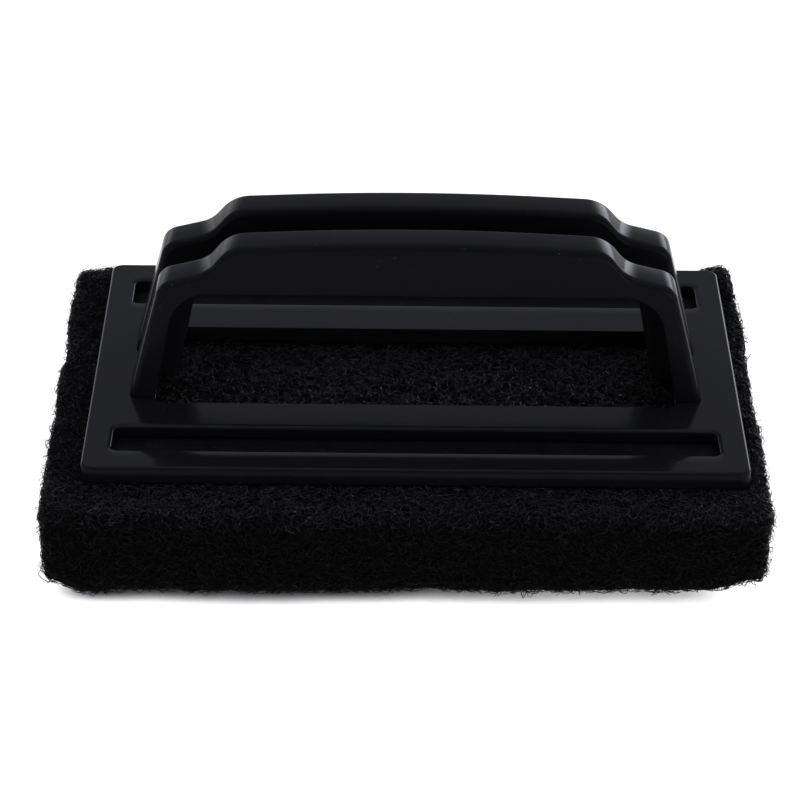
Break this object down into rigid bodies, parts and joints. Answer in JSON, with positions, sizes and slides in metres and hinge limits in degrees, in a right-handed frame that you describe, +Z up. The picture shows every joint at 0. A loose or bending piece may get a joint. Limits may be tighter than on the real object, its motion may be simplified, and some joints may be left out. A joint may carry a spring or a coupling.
{
  "type": "board eraser",
  "caption": "Hand board eraser: a thick fibre pad held by hook strips under a slotted plastic plate with an arched, grooved grip.",
  "frame": {"origin": "centre of the pad's underside, which is the face that the eraser rests on", "axes": "+X along the eraser, +Y towards its rear edge, +Z up out of the pad towards the grip"},
  "size_m": [0.152, 0.102, 0.0628],
  "materials": {
    "fibre": "matt black non-woven synthetic fibre, open and springy",
    "black_plastic": "black injection-moulded plastic, semi-gloss, with fine dust and rub marks",
    "nylon": "black moulded nylon, satin",
    "steel": "zinc-plated steel"
  },
  "bodies": {
    "pad": {"scouring_pad": "fibre"},
    "holder": {"base_plate": "black_plastic", "grip": "black_plastic", "front_hook_strip": "nylon", "rear_hook_strip": "nylon", "screw_front_left": "steel", "screw_front_right": "steel", "screw_rear_left": "steel", "screw_rear_right": "steel"}
  },
  "joints": [
    {"name": "pad_release", "type": "slide", "parent": "pad", "child": "holder", "axis": [0, 0, 1], "range_m": [0, 0.03]}
  ]
}
